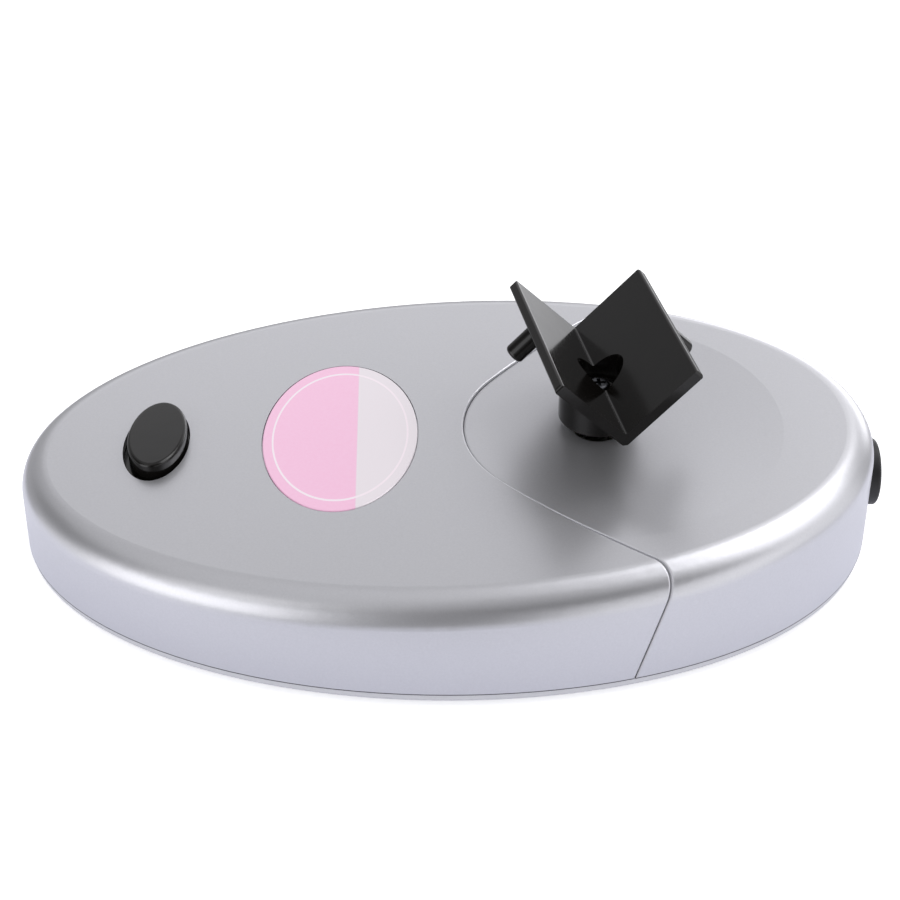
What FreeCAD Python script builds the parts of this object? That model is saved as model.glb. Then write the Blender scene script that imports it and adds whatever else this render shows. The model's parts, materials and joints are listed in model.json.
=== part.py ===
import FreeCAD, Part
import math
import os

# Nail polish shaker: an egg-shaped desk-top housing with an elliptical push button, a badge and a
# power inlet, and a V-shaped bottle cradle that a belt-driven crank carries round a small circle.
# Millimetres. The working frame has its origin at the middle of the outline on the housing's lower
# edge, +X towards the wide end, +Z up. write_node() moves everything to the final frame, whose
# origin is on the table under the middle of the bounding box.

V = FreeCAD.Vector
UP = V(0, 0, 1)

# ---------------------------------------------------------------- housing
half_length = 105.0         # half of the outline along X, without the inlet's bezel
half_width = 66.35          # half of the outline along Y, before the egg's skew
egg_skew = 0.037            # how much wider the +X half is than the -X half
egg_fill = 0.007            # how much the ends are filled out
egg_nose = 0.004            # how much the +X end is blunted and the -X end pointed
outline_points = 24         # spline points round the outline
body_height = 27.7          # lower edge to the flat top, at the middle of the outline
top_slope = 0.042           # how far the top rises per mm towards the wide end
shoulder_r = 7.0            # rounding between the wall and the top
wall_draft = 0.024          # how far the wall leans in per mm of height
lean_steps = 8              # rounds that settle a point's height and lean together
top_tolerance = 0.02        # how exactly an edge must lie in the top's plane to count as its own
wall = 2.2                  # thickness of the covers
floor_thick = 2.3           # base plate, and the height of the parting line
base_inset = 0.35           # the base plate stands this far inside the covers' edge
base_edge_r = 0.9           # rounding of the base plate's lower edge
base_reveal = 0.3           # chamfer that draws the parting line
rib_thick = 1.4             # locating rib of the base plate, inside the covers' wall
rib_height = 3.0
rib_gap = 0.35

# seam between the two covers, seen from above: an arc about the spindle, a long flat arc on each
# side and a return arc that turns it square to the wall
seam_arc_r = 32.8
seam_arc_turn = 40.0
seam_sweep_r = 233.0
seam_sweep_turn = 11.0
seam_return_r = 13.0
seam_lean = 0.320           # how far the seam leans towards -X per mm down
seam_gap = 0.16
seam_edge_r = 0.5           # rounding of the front cover's edge along the seam

# shallow round dish in the rear cover, about the spindle
dish_r = 45.0
dish_depth = 1.3

# case screws and their bosses
boss_r = 3.6
boss_seat_z = 7.0           # where a cover's boss stands on the base plate's post
post_r = 4.2
screw_r = 1.45
screw_hole_gap = 0.1
screw_head_r = 2.8
screw_head_h = 1.9
screw_length = 10.0
head_recess_gap = 0.5
head_recess_h = 3.6
cross_width = 0.9
cross_reach_share = 0.6     # cross recess, as shares of a head's radius and height
cross_depth_share = 0.58
head_round_share = 0.55     # rounding of a screw head's top edge
front_screw_places = [(-84.0, 22.0), (15.0, 52.0)]
rear_screw_places = [(54.0, 46.5), (86.0, 23.5)]

# rubber feet
foot_r = 6.0
foot_proud = 1.6
foot_recess = 1.3
foot_gap = 0.15
foot_edge_r = 0.6
foot_places = [(-68.0, 28.0), (72.0, 33.0)]

# ---------------------------------------------------------------- badge
badge_x = -26.5
badge_half_x = 19.0
badge_half_y = 30.4
badge_gap = 0.25
badge_recess = 0.8
badge_proud = 0.15
badge_edge_r = 0.3

# ---------------------------------------------------------------- power button and switch
button_x = -71.1
button_half_x = 7.15
button_half_y = 13.4
button_gap_x = 0.95         # mean gaps to its hole
button_gap_y = 1.8
button_hole_shift = -0.4    # the hole's middle from the button's, along X
button_proud = 3.3          # face above the housing's top
button_edge_r = 0.9
button_face_thick = 2.2
button_side_thick = 1.4
button_flange = 2.6         # retaining flange under the cover
button_flange_h = 1.0
button_flange_gap = 0.35
button_travel = 2.2
guide_gap = 0.4             # flange to the guide wall under the cover
guide_thick = 1.2
stem_half = 3.0
switch_half = 4.25
switch_bottom_z = 7.0
switch_top_z = 14.7
switch_edge = 0.4           # chamfer of the switch's top edges
plunger_half = 1.6
plunger_gap = 0.15
plunger_in_body = 4.0
plunger_grip = 2.4          # how far the plunger stands in the button's stem
press_stop_gap = 0.3        # stem above the switch when pressed
pedestal_half = 5.6
pedestal_wall = 2.2
switch_rim_h = 1.6          # rim of the pedestal round the switch's foot
switch_rim_gap = 0.15
doorway_lintel = 1.5        # pedestal wall over and beside the doorway for the leads
doorway_jamb = 0.6
stem_bite = 0.5             # how far the button's stem runs into its face
terminal_thick = 0.5
terminal_half_w = 1.1
terminal_length = 4.0
terminal_pitch = 2.5

# ---------------------------------------------------------------- power inlet
jack_angle = -1.4           # its place on the outline, degrees about the middle
jack_z = 14.3
jack_bezel_r = 8.3
jack_bezel_proud = 2.2
jack_seat_depth = 1.0       # flat spot-face in the curved wall
jack_seat_gap = 0.15
jack_bezel_edge_r = 0.7
jack_barrel_r = 5.5
jack_barrel_gap = 0.15
jack_barrel_length = 13.0   # behind the seat
jack_bore_r = 2.9
jack_bore_depth = 9.5
jack_mouth_chamfer = 0.6
jack_pin_r = 1.05
jack_pin_length = 8.3
jack_pin_root = 1.6
jack_pin_tip_share = 0.6    # rounding of the pin's tip, as a share of its radius
jack_nut_half = 7.0         # half of the nut's width across flats
jack_nut_h = 2.4
jack_nut_gap = 0.05
jack_pad_r = 8.6            # thicker pad inside the wall
jack_pad_h = 1.2
jack_terminal_length = 3.6

# ---------------------------------------------------------------- crank and its bearings
spindle_x = 36.8
crank_throw = 2.5           # the cradle's pin stands this far from the spindle
crank_turn = 90.0           # where the pin stands at rest, degrees from +X about the spindle
spindle_r = 2.5
collar_r = 3.3              # thick part of the crank's pin, through the cover
cover_hole_gap = 0.6
bearing_outer_r = 5.5
bearing_inner_out_r = 3.2   # outside of the inner ring
bearing_outer_in_r = 4.5    # inside of the outer ring, behind its shields
bearing_h = 4.0
small_bearing_h = 3.0       # the cradle's two bearings
shield_thick = 0.3
shield_depth = 0.35         # shields stand this far inside the rings' faces
shield_gap = 0.08           # running clearance of shield and inner ring
bearing_fit = 0.03          # ring to its seat
spindle_bottom_z = 3.1
spindle_end_chamfer = 0.4
pin_bite = 0.5              # how far the crank's pin runs into its flange
clip_z = 4.1
clip_thick = 0.6
clip_r = 3.9
clip_groove_r = 1.9
clip_gap = 0.1
clip_mouth = 3.0
lower_bearing_z = 4.8
upper_bearing_z = 12.4
housing_r = 8.0
housing_floor_gap = 0.1
housing_pocket_r = 4.4
housing_flange_r = 17.0
housing_flange_z = 5.0
housing_flange_h = 2.0
housing_web = 1.0           # chamfer between the flange and the tube
housing_screw_circle = 12.8
housing_screw_count = 3
small_screw_r = 1.2
small_head_r = 2.2
small_head_h = 1.4
housing_screw_length = 6.0
housing_post_r = 3.0

crank_flange_r = 11.0
crank_flange_z = 17.0
crank_flange_h = 2.4
pulley_r = 20.0
pulley_rim_z = 17.4
pulley_rim_h = 4.8
pulley_rim_thick = 3.6
pulley_web_h = 1.6
pulley_screw_circle = 8.7
pulley_screw_count = 3
pulley_screw_r = 0.9
pulley_screw_head_r = 1.7
pulley_screw_head_h = 1.0
pulley_screw_length = 3.4
belt_r = 0.9
belt_pitch_r = 19.0         # belt's centre line on the driven pulley
belt_gap = 0.25
groove_half_angle = 30.0
groove_mouth = 0.1
weight_inner_gap = 0.6
weight_outer_gap = 0.4
weight_h = 1.9
weight_span = 150.0
web_hole_gap = 0.4

# ---------------------------------------------------------------- cradle
column_r = 9.6
column_bottom_z = 29.55
column_edge_r = 0.5
column_bite = 0.5           # how far the column stops inside the plates, under their inner faces
column_lip_r = 4.5
column_lip_h = 0.7
cradle_turn = 9.2           # the trough is turned this far about the column
valley_z = 40.4             # inner corner of the V
plate_width = 22.4          # inner corner to the top edge of each plate
plate_length = 47.6
plate_thick = 2.6
plate_edge_r = 0.7
valley_r = 0.45             # rounding inside the V's corner
valley_flat = 1.2           # width of the flat under the V's corner
peg_r = 2.5
peg_length = 7.5
peg_edge_r = 0.9
peg_below_edge = 3.0
peg_offsets = {-1: 4.0, 1: -1.5}  # along the trough from the column, for the left and right peg
spacer_h = 0.6
spacer_wall = 0.6
washer_r = 4.3
washer_h = 0.6
cradle_screw_r = 1.5
cradle_screw_length = 9.0
pin_short = 0.15            # the pin ends this far under the washer

# ---------------------------------------------------------------- motor
motor_distance = 52.0       # spindle to motor shaft
motor_r = 14.0
motor_bottom_z = 3.7
motor_top_z = 15.8
motor_can_wall = 0.9
motor_edge = 1.0            # chamfer of the can's top edge
motor_boss_r = 3.0
motor_boss_h = 1.0
motor_cap_h = 2.0
motor_cap_gap = 0.05
motor_cap_recess = 0.4      # the end cap stands this far inside the can
motor_cap_boss_h = 0.6
motor_shaft_r = 1.0
motor_shaft_gap = 0.06
motor_shaft_fit = 0.01      # shaft to its pressed-on core and pulley
motor_shaft_lift = 0.6      # the shaft's lower end above the can's foot
motor_magnet_thick = 2.4
motor_magnet_span = 130.0
motor_air_gap = 0.5
motor_core_end_gap = 1.6
motor_slot_count = 3
motor_slot_width = 1.4
motor_slot_depth = 5.0
motor_commutator_r = 2.6
motor_commutator_gap = 0.9  # end cap to the commutator
motor_terminal_half_w = 1.2
motor_terminal_length = 3.8
motor_terminal_lift = 0.4   # blades above the base plate
motor_terminal_gap = 0.05
motor_pad_hole_r = 8.0
terminal_ring_share = 0.75  # blades' distance from the axis, as a share of the pad's hole
motor_pad_side = 1.6        # rubber lip round the can's foot
motor_pad_lip_h = 3.0
motor_pad_gap = 0.05
motor_pulley_rim = 1.2      # flange beyond the belt's centre line
motor_pitch_r = 4.5
motor_pulley_h = 4.2
motor_face_screw_circle = 8.0
motor_face_screw_length = 3.0
bracket_thick = 1.2
bracket_half_x = 15.0
bracket_half_y = 26.0
bracket_corner_r = 5.0
bracket_hole_gap = 0.15
bracket_screw_x = 10.0
bracket_screw_y = 21.0
grommet_r = 4.4
grommet_flange_h = 1.2
grommet_neck_r = 2.9
grommet_fit = 0.02
bracket_post_r = 3.4
bracket_screw_length = 11.0


# ---------------------------------------------------------------- helpers
def tube(outer_r, inner_r, z_low, z_high, x=0.0, y=0.0):
    outer = Part.makeCylinder(outer_r, z_high - z_low, V(x, y, z_low))
    inner = Part.makeCylinder(inner_r, z_high - z_low, V(x, y, z_low))
    return outer.cut(inner)


def post(radius, z_low, z_high, x=0.0, y=0.0):
    return Part.makeCylinder(radius, z_high - z_low, V(x, y, z_low))


def block(half_x, half_y, z_low, z_high, x=0.0, y=0.0):
    return Part.makeBox(2 * half_x, 2 * half_y, z_high - z_low, V(x - half_x, y - half_y, z_low))


def join(shapes):
    """Fuse shapes that touch or overlap into one solid."""
    return shapes[0].fuse(shapes[1:]).removeSplitter()


def revolve(points, x=0.0, y=0.0):
    """Solid of revolution about a vertical axis, from (radius, height) points."""
    corners = [V(x + r, y, z) for r, z in points]
    face = Part.Face(Part.makePolygon(corners + corners[:1]))
    return face.revolve(V(x, y, 0), UP, 360)


def ellipse_prism(half_x, half_y, z_low, z_high, x=0.0, y=0.0):
    """Upright elliptical cylinder. The longer half lies along Y."""
    ellipse = Part.Ellipse(V(x, y + half_y, z_low), V(x - half_x, y, z_low), V(x, y, z_low))
    face = Part.Face(Part.Wire(ellipse.toShape()))
    return face.extrude(V(0, 0, z_high - z_low))


def edges_at(shape, z, tolerance=1e-3):
    """Edges that lie flat at a height."""
    return [e for e in shape.Edges
            if abs(e.BoundBox.ZMin - z) < tolerance and abs(e.BoundBox.ZMax - z) < tolerance]


def both_sides(places):
    """Each place, then its mirror image across the X axis."""
    return [(x, side * y) for x, y in places for side in (-1, 1)]


def cross_head_screw(shank_r, length, head_r, head_h):
    """Pan-head screw with its seat at the origin, head up, shank down."""
    head = Part.makeCylinder(head_r, head_h)
    head = head.makeFillet(head_h * head_round_share, edges_at(head, head_h))
    screw = join([head, Part.makeCylinder(shank_r, length, V(0, 0, -length))])
    reach = head_r * cross_reach_share
    low = head_h * (1 - cross_depth_share)
    for half_x, half_y in ((reach, cross_width / 2), (cross_width / 2, reach)):
        screw = screw.cut(block(half_x, half_y, low, head_h + 1))
    return screw


def placed(shape, x, y, z, upside_down=False):
    copy = shape.copy()
    if upside_down:
        copy.rotate(V(0, 0, 0), V(1, 0, 0), 180)
    copy.translate(V(x, y, z))
    return copy


# ---------------------------------------------------------------- outline
def outline_point(t, inset=0.0):
    """Point of the egg-shaped outline at angle t, moved inwards by inset along its normal."""
    swell = 1 + egg_skew * math.cos(t) + egg_fill * math.cos(2 * t) + egg_nose * math.cos(3 * t)
    swell_rate = -egg_skew * math.sin(t) - 2 * egg_fill * math.sin(2 * t)
    swell_rate -= 3 * egg_nose * math.sin(3 * t)
    x = half_length * math.cos(t)
    y = half_width * math.sin(t) * swell
    dx = -half_length * math.sin(t)
    dy = half_width * (math.cos(t) * swell + math.sin(t) * swell_rate)
    size = math.hypot(dx, dy)
    normal = V(dy / size, -dx / size, 0)
    return V(x, y, 0) - normal * inset, normal


def outline_wire(inset, z_of):
    """Closed outline whose height at x is z_of(x), moved inwards by inset and the wall's lean."""
    # the closed curve starts at the narrow end, away from the inlet
    angles = [math.pi + 2 * math.pi * i / outline_points for i in range(outline_points)]
    points = []
    for t in angles:
        point = outline_point(t, inset)[0]
        # the lean moves x a little, and x moves the height
        for i in range(lean_steps):
            point = outline_point(t, inset + wall_draft * z_of(point.x))[0]
        points.append(point + V(0, 0, z_of(point.x)))
    curve = Part.BSplineCurve()
    curve.interpolate(Points=points, PeriodicFlag=True)
    return Part.Wire(curve.toShape())


def outline_solid(inset, z_low, z_of):
    """Solid inside the outline, leaning in with the wall, from z_low to the height z_of(x)."""
    low = outline_wire(inset, lambda x: z_low)
    return Part.makeLoft([low, outline_wire(inset, z_of)], True, True)


# ---------------------------------------------------------------- sloping top
def top_z(x):
    """Height of the housing's sloping top at x."""
    return body_height + top_slope * x


def on_top(shape):
    """Tilt a shape that was drawn for a level top so that it fits the sloping one."""
    copy = shape.copy()
    copy.rotate(V(0, 0, body_height), V(0, 1, 0), -math.degrees(math.atan(top_slope)))
    return copy


def above_top(lift):
    """Everything above a plane parallel to the sloping top."""
    reach = 2 * half_length
    return on_top(block(reach, reach, body_height + lift, body_height + lift + reach))


def round_on_top(shape, radius, lift=0.0, x_from=-2 * half_length):
    """Round the edges beyond x_from that lie in the top's plane, or in one parallel to it."""
    lean = math.cos(math.atan(top_slope))
    edges = []
    for edge in shape.Edges:
        lifts = [(p.z - top_z(p.x)) * lean for p in edge.discretize(5)]
        if max(abs(h - lift) for h in lifts) < top_tolerance and edge.BoundBox.XMin > x_from:
            edges.append(edge)
    return shape.makeFillet(radius, edges)


# ---------------------------------------------------------------- seam between the covers
def seam_prism(grow, z_low, z_high):
    """Everything on the rear cover's side of the seam, leaning with it. Its side is moved
    towards the front cover by grow."""
    reach = 2 * half_length
    points = []
    x = spindle_x - seam_arc_r - grow
    y = 0.0
    heading = -90.0
    points.append(V(x, y, 0))
    arcs = []
    for radius, turn in ((seam_arc_r + grow, seam_arc_turn),
                         (seam_sweep_r + grow, seam_sweep_turn),
                         (seam_return_r - grow, -seam_arc_turn - seam_sweep_turn)):
        side = 1 if turn > 0 else -1
        normal = math.radians(heading + 90.0 * side)
        centre = V(x + radius * math.cos(normal), y + radius * math.sin(normal), 0)
        start = math.radians(heading - 90.0 * side)
        ends = []
        for share in (0.5, 1.0):
            angle = start + math.radians(turn) * share
            ends.append(centre + V(math.cos(angle), math.sin(angle), 0) * radius)
        arcs.append((V(x, y, 0), ends[0], ends[1]))
        x, y = ends[1].x, ends[1].y
        heading += turn
    edges = []
    mirror = []
    for first, middle, last in arcs:
        edges.append(Part.Arc(first, middle, last).toShape())
        flipped = [V(p.x, -p.y, 0) for p in (last, middle, first)]
        mirror.insert(0, Part.Arc(*flipped).toShape())
    end = arcs[-1][2]
    corners = [V(end.x, end.y, 0), V(end.x, -reach, 0), V(reach, -reach, 0),
               V(reach, reach, 0), V(end.x, reach, 0), V(end.x, -end.y, 0)]
    edges += [Part.makeLine(a, b) for a, b in zip(corners, corners[1:])]
    face = Part.Face(Part.Wire(Part.__sortEdges__(edges + mirror)))
    # the outline is drawn in the plane of the flat top and slides along the leaning side
    face.translate(V(seam_lean * (z_low - body_height), 0, z_low))
    return face.extrude(V(seam_lean * (z_high - z_low), 0, z_high - z_low))


def dish_solid(z_rim, lift, overshoot):
    """Lens between a shallow spherical bowl, whose rim is at z_rim, and a flat lift above it."""
    ball_r = (dish_r ** 2 + dish_depth ** 2) / (2 * dish_depth)
    centre_z = z_rim - dish_depth + ball_r
    edge_r = dish_r + overshoot

    def on_ball(r):
        return V(spindle_x + r, 0, centre_z - math.sqrt(ball_r ** 2 - r ** 2))

    bowl = Part.Arc(on_ball(0.0), on_ball(edge_r / 2), on_ball(edge_r)).toShape()
    rim = on_ball(edge_r)
    high = max(rim.z, z_rim) + lift
    corners = [rim, V(rim.x, 0, high), V(spindle_x, 0, high), on_ball(0.0)]
    lines = [Part.makeLine(a, b) for a, b in zip(corners, corners[1:])]
    face = Part.Face(Part.Wire([bowl] + lines))
    return face.revolve(V(spindle_x, 0, 0), UP, 360)


# ---------------------------------------------------------------- covers
def cover_form(inset, z_low, edge_r):
    """Solid inside the outline and under the sloping top, each moved inwards by inset."""
    down = inset / math.cos(math.atan(top_slope))
    solid = outline_solid(inset, z_low, lambda x: top_z(x) - down)
    return round_on_top(solid, edge_r, -inset)


def cover_shell():
    """Both covers as one shell, open below."""
    outer = cover_form(0.0, floor_thick, shoulder_r)
    return outer.cut(cover_form(wall, floor_thick - 1, shoulder_r - wall))


def cover_bosses(places):
    return [post(boss_r, boss_seat_z, top_z(x) - wall / 2, x, y) for x, y in both_sides(places)]


def boss_holes(places):
    high = head_recess_h + screw_length + screw_hole_gap
    return [post(screw_r + screw_hole_gap, boss_seat_z - 1, high, x, y)
            for x, y in both_sides(places)]


def front_cover(shell):
    highest = top_z(half_length)
    cover = shell.cut(seam_prism(seam_gap / 2, -1, highest))
    # the top's other edges run to the narrow end
    cover = round_on_top(cover, seam_edge_r, x_from=spindle_x - seam_arc_r - 2 * seam_gap)
    guide_x = button_half_x + button_flange + guide_gap
    guide_y = button_half_y + button_flange + guide_gap
    guide_low = button_flange_z() - button_travel
    guide_high = top_z(button_x) - wall / 2
    guide = ellipse_prism(guide_x + guide_thick, guide_y + guide_thick, guide_low, guide_high,
                          button_x)
    guide = guide.cut(ellipse_prism(guide_x, guide_y, guide_low - 1, guide_high + 1, button_x))
    cover = cover.fuse([guide] + cover_bosses(front_screw_places))
    hole = ellipse_prism(button_half_x + button_gap_x, button_half_y + button_gap_y, guide_low,
                         highest, button_x + button_hole_shift)
    recess = ellipse_prism(badge_half_x + badge_gap, badge_half_y + badge_gap,
                           body_height - badge_recess, body_height + 1, badge_x)
    return cover.cut([hole, on_top(recess)] + boss_holes(front_screw_places))


def rear_cover(shell):
    highest = top_z(half_length)
    dished = shell.fuse(on_top(dish_solid(body_height - wall, wall / 2, 0.0)))
    cover = dished.common(seam_prism(-seam_gap / 2, -1, highest))
    cover = cover.cut(on_top(dish_solid(body_height, 3.0, 3.0)))
    pad_in = jack_seat_depth + wall + jack_pad_h
    pad = jack_solid(jack_pad_r, -pad_in, -jack_seat_depth - wall / 2)
    cover = cover.fuse([pad] + cover_bosses(rear_screw_places))
    hole = post(collar_r + crank_throw + cover_hole_gap, 0, highest, spindle_x)
    seat = jack_solid(jack_bezel_r + jack_seat_gap, -jack_seat_depth, jack_barrel_length)
    barrel = jack_solid(jack_barrel_r + jack_barrel_gap, -jack_barrel_length, 0)
    return cover.cut([hole, seat, barrel] + boss_holes(rear_screw_places))


# ---------------------------------------------------------------- base plate and its fasteners
def screw_places():
    return both_sides(front_screw_places) + both_sides(rear_screw_places)


def base_plate():
    plate = outline_solid(base_inset, 0.0, lambda x: floor_thick)
    plate = plate.makeFillet(base_edge_r, edges_at(plate, 0.0))
    plate = plate.makeChamfer(base_reveal, edges_at(plate, floor_thick))
    rib_out = wall + rib_gap
    rib_low = floor_thick / 2
    rib_high = floor_thick + rib_height
    rib = outline_solid(rib_out, rib_low, lambda x: rib_high)
    rib = rib.cut(outline_solid(rib_out + rib_thick, rib_low - 1, lambda x: rib_high + 1))
    rib = rib.cut(jack_solid(jack_pad_r + rib_gap, -jack_barrel_length, 0))
    parts = [plate, rib]
    parts += [post(post_r, rib_low, boss_seat_z, x, y) for x, y in screw_places()]
    parts += [post(housing_post_r, rib_low, housing_flange_z, x, y) for x, y in housing_places()]
    bracket_seat = motor_top_z - grommet_flange_h
    parts += [post(bracket_post_r, rib_low, bracket_seat, x, y) for x, y in bracket_places()]
    parts.append(switch_pedestal(rib_low))
    plate = join(parts)
    for x, y in screw_places():
        plate = plate.cut(post(screw_head_r + head_recess_gap, -1, head_recess_h, x, y))
        plate = plate.cut(post(screw_r + screw_hole_gap, 0, boss_seat_z + 1, x, y))
    for x, y in both_sides(foot_places):
        plate = plate.cut(post(foot_r + foot_gap, -1, foot_recess, x, y))
    for x, y in housing_places():
        low = housing_flange_z + housing_flange_h - housing_screw_length - screw_hole_gap
        plate = plate.cut(post(small_screw_r + screw_hole_gap, low, housing_flange_z + 1, x, y))
    for x, y in bracket_places():
        low = bracket_screw_seat() - bracket_screw_length - screw_hole_gap
        plate = plate.cut(post(screw_r + screw_hole_gap, low, bracket_seat + 1, x, y))
    return plate


def case_screws():
    screw = cross_head_screw(screw_r, screw_length, screw_head_r, screw_head_h)
    return [placed(screw, x, y, head_recess_h, upside_down=True) for x, y in screw_places()]


def rubber_feet():
    feet = []
    for x, y in both_sides(foot_places):
        foot = post(foot_r, -foot_proud, foot_recess, x, y)
        feet.append(foot.makeFillet(foot_edge_r, edges_at(foot, -foot_proud)))
    return feet


def label_badge():
    low = body_height - badge_recess
    high = body_height + badge_proud
    badge = ellipse_prism(badge_half_x, badge_half_y, low, high, badge_x)
    return on_top(badge.makeFillet(badge_edge_r, edges_at(badge, high)))


# ---------------------------------------------------------------- button and switch
def button_flange_z():
    """Lower face of the button's retaining flange, under the lowest part of the ceiling."""
    ceiling = top_z(button_x - button_half_x - button_flange) - wall
    return ceiling - button_flange_gap - button_flange_h


def stem_low_z():
    return switch_top_z + press_stop_gap + button_travel


def power_button():
    """Its face and the top of its flange slope with the housing's top."""
    highest = top_z(half_length)
    flange_low = button_flange_z()
    cap = ellipse_prism(button_half_x, button_half_y, flange_low, highest, button_x)
    cap = round_on_top(cap.cut(above_top(button_proud)), button_edge_r, button_proud)
    flange = ellipse_prism(button_half_x + button_flange, button_half_y + button_flange,
                           flange_low, highest, button_x)
    flange = flange.cut(above_top(-wall - button_flange_gap))
    ceiling = top_z(button_x) + button_proud - button_face_thick
    hollow = ellipse_prism(button_half_x - button_side_thick, button_half_y - button_side_thick,
                           flange_low - 1, ceiling, button_x)
    stem = block(stem_half, stem_half, stem_low_z(), ceiling + stem_bite, button_x)
    button = join([cap.fuse(flange).cut(hollow), stem])
    socket_half = plunger_half + plunger_gap
    socket_top = stem_low_z() + plunger_grip
    return button.cut(block(socket_half, socket_half, stem_low_z() - 1, socket_top, button_x))


def switch_plunger():
    low = switch_top_z - plunger_in_body
    return block(plunger_half, plunger_half, low, stem_low_z() + plunger_grip, button_x)


def switch_body():
    body = block(switch_half, switch_half, switch_bottom_z, switch_top_z, button_x)
    body = body.makeChamfer(switch_edge, edges_at(body, switch_top_z))
    well_half = plunger_half + plunger_gap
    well_low = switch_top_z - plunger_in_body - button_travel - press_stop_gap
    return body.cut(block(well_half, well_half, well_low, switch_top_z + 1, button_x))


def switch_pedestal(z_low):
    rim_top = switch_bottom_z + switch_rim_h
    inner = pedestal_half - pedestal_wall
    seat = switch_half + switch_rim_gap
    stand = block(pedestal_half, pedestal_half, z_low, rim_top, button_x)
    stand = stand.cut(block(inner, inner, floor_thick, rim_top + 1, button_x))
    stand = stand.cut(block(seat, seat, switch_bottom_z, rim_top + 1, button_x))
    # doorway for the leads, towards the motor
    return stand.cut(block(pedestal_wall, inner - doorway_jamb, floor_thick,
                           switch_bottom_z - doorway_lintel, button_x + pedestal_half))


def switch_terminals():
    blades = []
    for side in (-1, 1):
        blades.append(block(terminal_thick / 2, terminal_half_w, switch_bottom_z - terminal_length,
                            switch_bottom_z, button_x + side * terminal_pitch / 2))
    return blades


# ---------------------------------------------------------------- power inlet
def jack_frame():
    """Placement that takes +Z to the inlet's outward axis and the origin to the wall."""
    point, normal = outline_point(math.radians(jack_angle), wall_draft * jack_z)
    turn = math.degrees(math.atan2(normal.y, normal.x))
    lay_down = FreeCAD.Rotation(V(0, 1, 0), 90)
    return FreeCAD.Placement(point + V(0, 0, jack_z), FreeCAD.Rotation(UP, turn) * lay_down)


def at_jack(shape):
    copy = shape.copy()
    copy.transformShape(jack_frame().toMatrix(), True)
    return copy


def jack_solid(radius, low, high):
    """Cylinder along the inlet's axis, from low to high, measured outwards from the wall."""
    return at_jack(Part.makeCylinder(radius, high - low, V(0, 0, low)))


def dc_jack_body():
    face = jack_bezel_proud
    seat = -jack_seat_depth
    back = seat - jack_barrel_length
    bezel = Part.makeCylinder(jack_bezel_r, face - seat, V(0, 0, seat))
    bezel = bezel.makeFillet(jack_bezel_edge_r, edges_at(bezel, face))
    barrel = Part.makeCylinder(jack_barrel_r, seat - back, V(0, 0, back))
    body = bezel.fuse(barrel).removeSplitter()
    body = body.cut(Part.makeCylinder(jack_bore_r, jack_bore_depth, V(0, 0, face - jack_bore_depth)))
    mouth = [e for e in edges_at(body, face) if e.BoundBox.XMax < jack_bore_r + 0.1]
    body = body.makeChamfer(jack_mouth_chamfer, mouth)
    root = face - jack_bore_depth
    body = body.cut(Part.makeCylinder(jack_pin_r, jack_pin_root, V(0, 0, root - jack_pin_root)))
    return at_jack(body)


def dc_jack_pin():
    low = jack_bezel_proud - jack_bore_depth - jack_pin_root
    pin = Part.makeCylinder(jack_pin_r, jack_pin_length + jack_pin_root, V(0, 0, low))
    tip = edges_at(pin, low + jack_pin_length + jack_pin_root)
    return at_jack(pin.makeFillet(jack_pin_r * jack_pin_tip_share, tip))


def dc_jack_nut():
    high = -jack_seat_depth - wall - jack_pad_h
    corner_r = jack_nut_half / math.cos(math.radians(30))
    corners = [V(corner_r * math.cos(math.radians(60 * i)), corner_r * math.sin(math.radians(60 * i)),
                 high - jack_nut_h) for i in range(7)]
    nut = Part.Face(Part.makePolygon(corners)).extrude(V(0, 0, jack_nut_h))
    bore_r = jack_barrel_r + jack_nut_gap
    nut = nut.cut(Part.makeCylinder(bore_r, jack_nut_h + 2, V(0, 0, high - jack_nut_h - 1)))
    return at_jack(nut)


def dc_jack_terminals():
    back = -jack_seat_depth - jack_barrel_length
    blades = []
    for side in (-1, 1):
        blade = Part.makeBox(2 * terminal_half_w, terminal_thick, jack_terminal_length,
                             V(-terminal_half_w, side * jack_barrel_r / 2 - terminal_thick / 2,
                               back - jack_terminal_length))
        blades.append(at_jack(blade))
    return blades


# ---------------------------------------------------------------- bearings
def bearing_inner(z, height, x, y):
    return tube(bearing_inner_out_r, spindle_r + bearing_fit, z, z + height, x, y)


def bearing_outer(z, height, x, y):
    """Outer ring with two shields that close down to the inner ring."""
    shield_r = bearing_inner_out_r + shield_gap
    ring = tube(bearing_outer_r, bearing_outer_in_r, z, z + height, x, y)
    low = z + shield_depth
    high = z + height - shield_depth
    return join([ring, tube(bearing_outer_in_r, shield_r, low, low + shield_thick, x, y),
                 tube(bearing_outer_in_r, shield_r, high - shield_thick, high, x, y)])


def pin_x():
    return spindle_x + crank_throw * math.cos(math.radians(crank_turn))


def pin_y():
    return crank_throw * math.sin(math.radians(crank_turn))


def cradle_bearing_z():
    lower = column_bottom_z + column_lip_h
    return [lower, lower + small_bearing_h + spacer_h]


def pin_top_z():
    return cradle_bearing_z()[1] + small_bearing_h


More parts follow.
